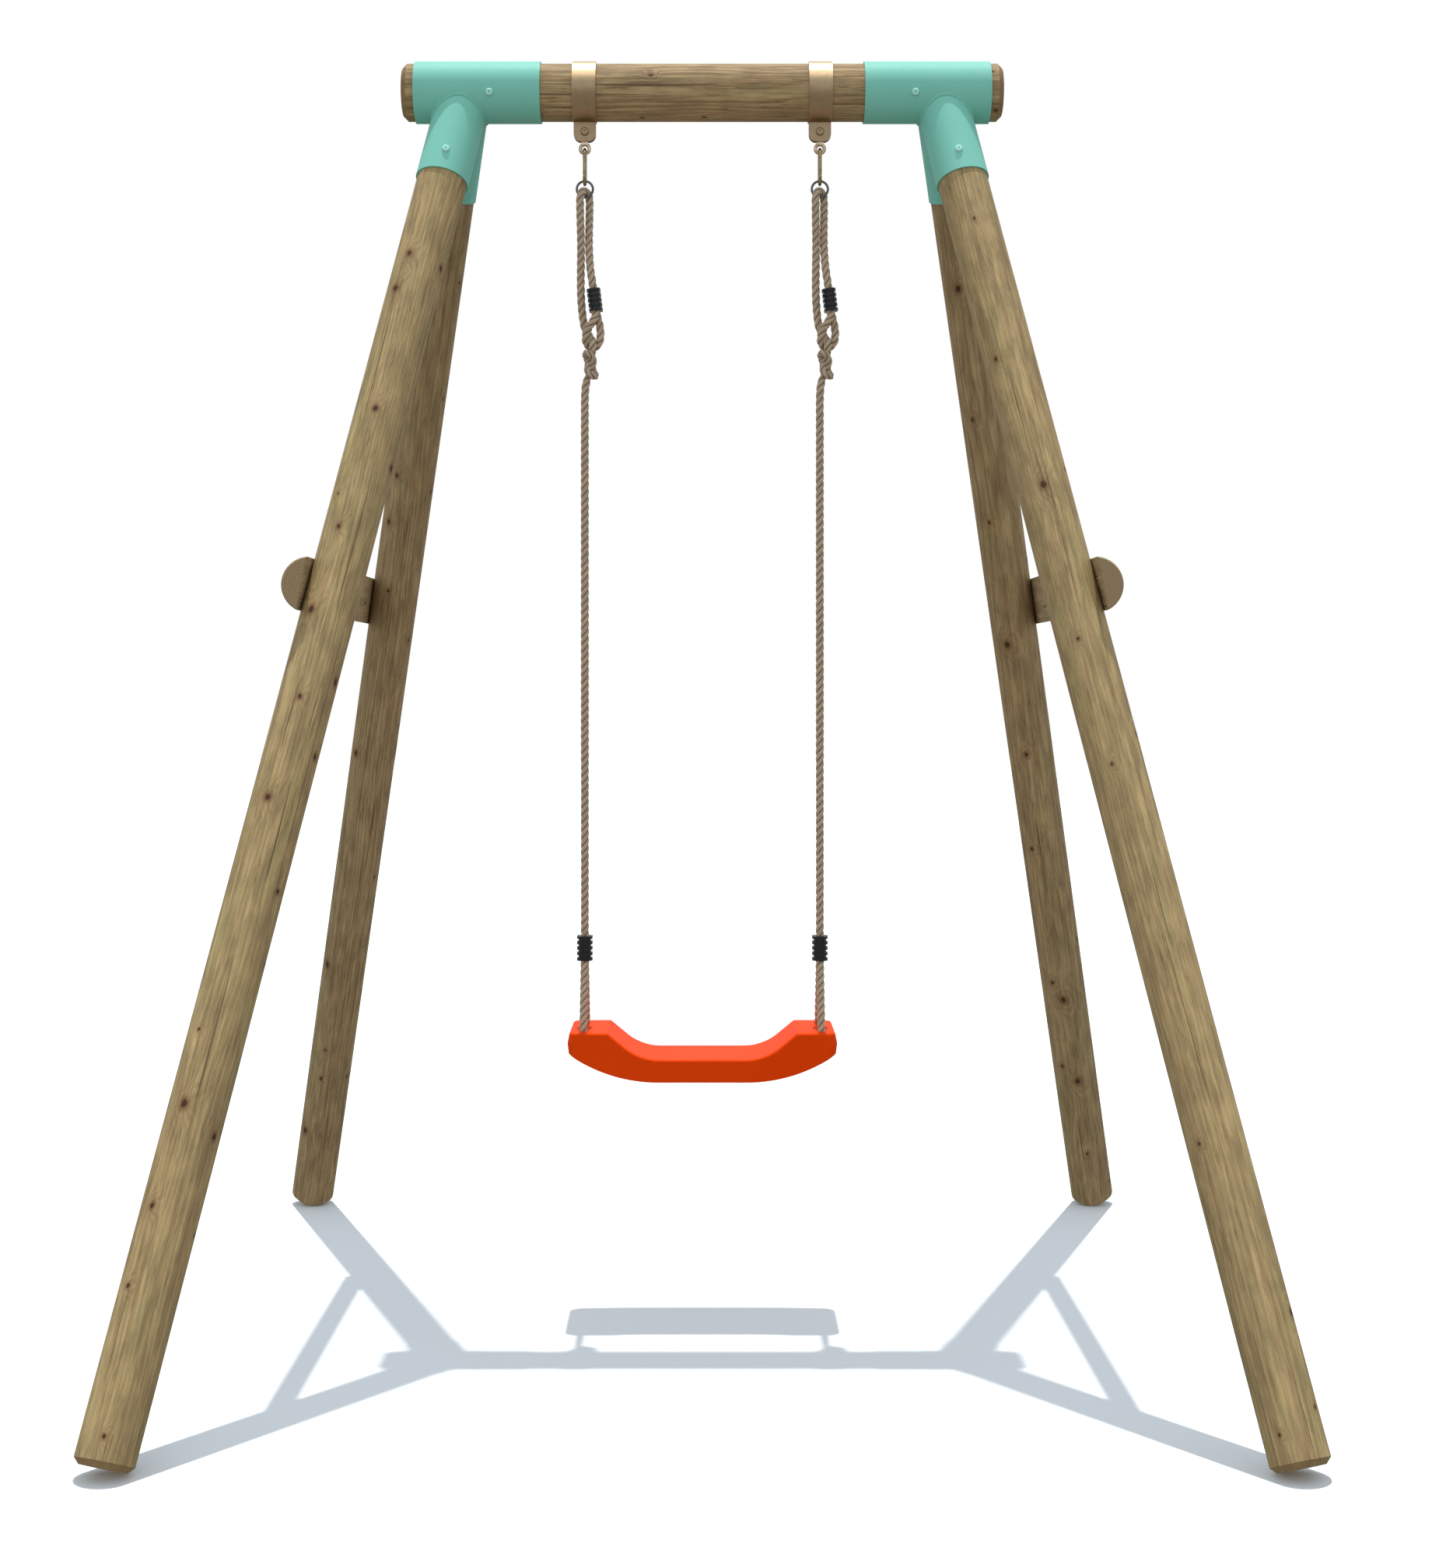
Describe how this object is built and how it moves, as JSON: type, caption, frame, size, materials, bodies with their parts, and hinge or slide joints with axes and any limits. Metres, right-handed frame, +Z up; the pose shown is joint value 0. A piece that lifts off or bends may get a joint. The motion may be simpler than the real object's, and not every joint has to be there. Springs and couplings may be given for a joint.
{
  "type": "swing set",
  "caption": "Garden swing set: a splayed round-pine frame with steel corner brackets and side braces, and a moulded seat hung on adjustable ropes with snap hooks.",
  "frame": {"origin": "on the ground, under the middle of the beam", "axes": "+X to the right along the beam, +Y to the back, +Z up; the seat swings towards -Y and +Y"},
  "size_m": [1.6624, 1.728, 2.0947],
  "materials": {
    "pine_front": "sawn round pine, pressure treated, matt",
    "pine_rear": "sawn round pine, pressure treated, matt",
    "pine_beam": "sawn round pine, pressure treated, matt",
    "pine_brace": "split pine, pressure treated, matt",
    "bracket_paint": "powder coat, semi-gloss",
    "screw_paint": "painted heads, semi-gloss",
    "zinc_fixings": "zinc plated",
    "clamp_steel": "passivated zinc, bronze tone, satin",
    "hook_brass": "yellow zinc plated, satin",
    "ring_steel": "dark galvanised",
    "hemp_rope": "three-strand laid rope",
    "crimp_plastic": "moulded, matt",
    "seat_plastic": "moulded polyethylene, satin gloss"
  },
  "bodies": {
    "frame": {"top_beam": "pine_beam", "front_left_leg": "pine_front", "rear_left_leg": "pine_rear", "left_brace": "pine_brace", "left_bracket": "bracket_paint", "left_bracket_screws": "screw_paint", "left_brace_washers": "zinc_fixings", "left_brace_screws": "zinc_fixings", "left_beam_clamp": "clamp_steel", "left_clamp_bolt": "clamp_steel", "left_clamp_nut": "clamp_steel", "left_hanger_eye": "hook_brass", "front_right_leg": "pine_front", "rear_right_leg": "pine_rear", "right_brace": "pine_brace", "right_bracket": "bracket_paint", "right_bracket_screws": "screw_paint", "right_brace_washers": "zinc_fixings", "right_brace_screws": "zinc_fixings", "right_beam_clamp": "clamp_steel", "right_clamp_bolt": "clamp_steel", "right_clamp_nut": "clamp_steel", "right_hanger_eye": "hook_brass"},
    "left_hook": {"left_snap_hook": "hook_brass", "left_gate_pin": "hook_brass"},
    "left_gate": {"left_hook_gate": "hook_brass"},
    "left_rope": {"left_rope_ring": "ring_steel", "left_noose_rope": "hemp_rope", "left_eye_rope": "hemp_rope", "left_rope_knot": "hemp_rope", "left_main_rope": "hemp_rope", "left_upper_crimp": "crimp_plastic", "left_lower_crimp": "crimp_plastic"},
    "right_hook": {"right_snap_hook": "hook_brass", "right_gate_pin": "hook_brass"},
    "right_gate": {"right_hook_gate": "hook_brass"},
    "right_rope": {"right_rope_ring": "ring_steel", "right_noose_rope": "hemp_rope", "right_eye_rope": "hemp_rope", "right_rope_knot": "hemp_rope", "right_main_rope": "hemp_rope", "right_upper_crimp": "crimp_plastic", "right_lower_crimp": "crimp_plastic"},
    "seat": {"seat": "seat_plastic", "left_seat_rope": "hemp_rope", "right_seat_rope": "hemp_rope"}
  },
  "joints": [
    {"name": "left_hook_swing", "type": "hinge", "parent": "frame", "child": "left_hook", "pos_m": [-0.197, 0, 1.942], "axis": [1, 0, 0], "range_deg": [-38, 38]},
    {"name": "left_ring_swing", "type": "hinge", "parent": "left_hook", "child": "left_rope", "pos_m": [-0.197, 0, 1.8955], "axis": [1, 0, 0], "range_deg": [-14, 14]},
    {"name": "left_gate_open", "type": "hinge", "parent": "left_hook", "child": "left_gate", "pos_m": [-0.197, -0.011, 1.90725], "axis": [-1, 0, 0], "range_deg": [0, 22], "stiffness_Nm_per_rad": 0.02, "springref_deg": -22.92},
    {"name": "right_hook_swing", "type": "hinge", "parent": "frame", "child": "right_hook", "pos_m": [0.197, 0, 1.942], "axis": [1, 0, 0], "range_deg": [-38, 38]},
    {"name": "right_ring_swing", "type": "hinge", "parent": "right_hook", "child": "right_rope", "pos_m": [0.197, 0, 1.8955], "axis": [1, 0, 0], "range_deg": [-14, 14]},
    {"name": "right_gate_open", "type": "hinge", "parent": "right_hook", "child": "right_gate", "pos_m": [0.197, -0.011, 1.90725], "axis": [-1, 0, 0], "range_deg": [0, 22], "stiffness_Nm_per_rad": 0.02, "springref_deg": -22.92},
    {"name": "seat_tilt", "type": "hinge", "parent": "left_rope", "child": "seat", "pos_m": [-0.197, 0, 0.5895], "axis": [1, 0, 0], "range_deg": [-12, 12]}
  ],
  "couplings": [
    {"joint": "right_hook_swing", "follows": "left_hook_swing", "ratio": 1},
    {"joint": "right_ring_swing", "follows": "left_ring_swing", "ratio": 1}
  ]
}
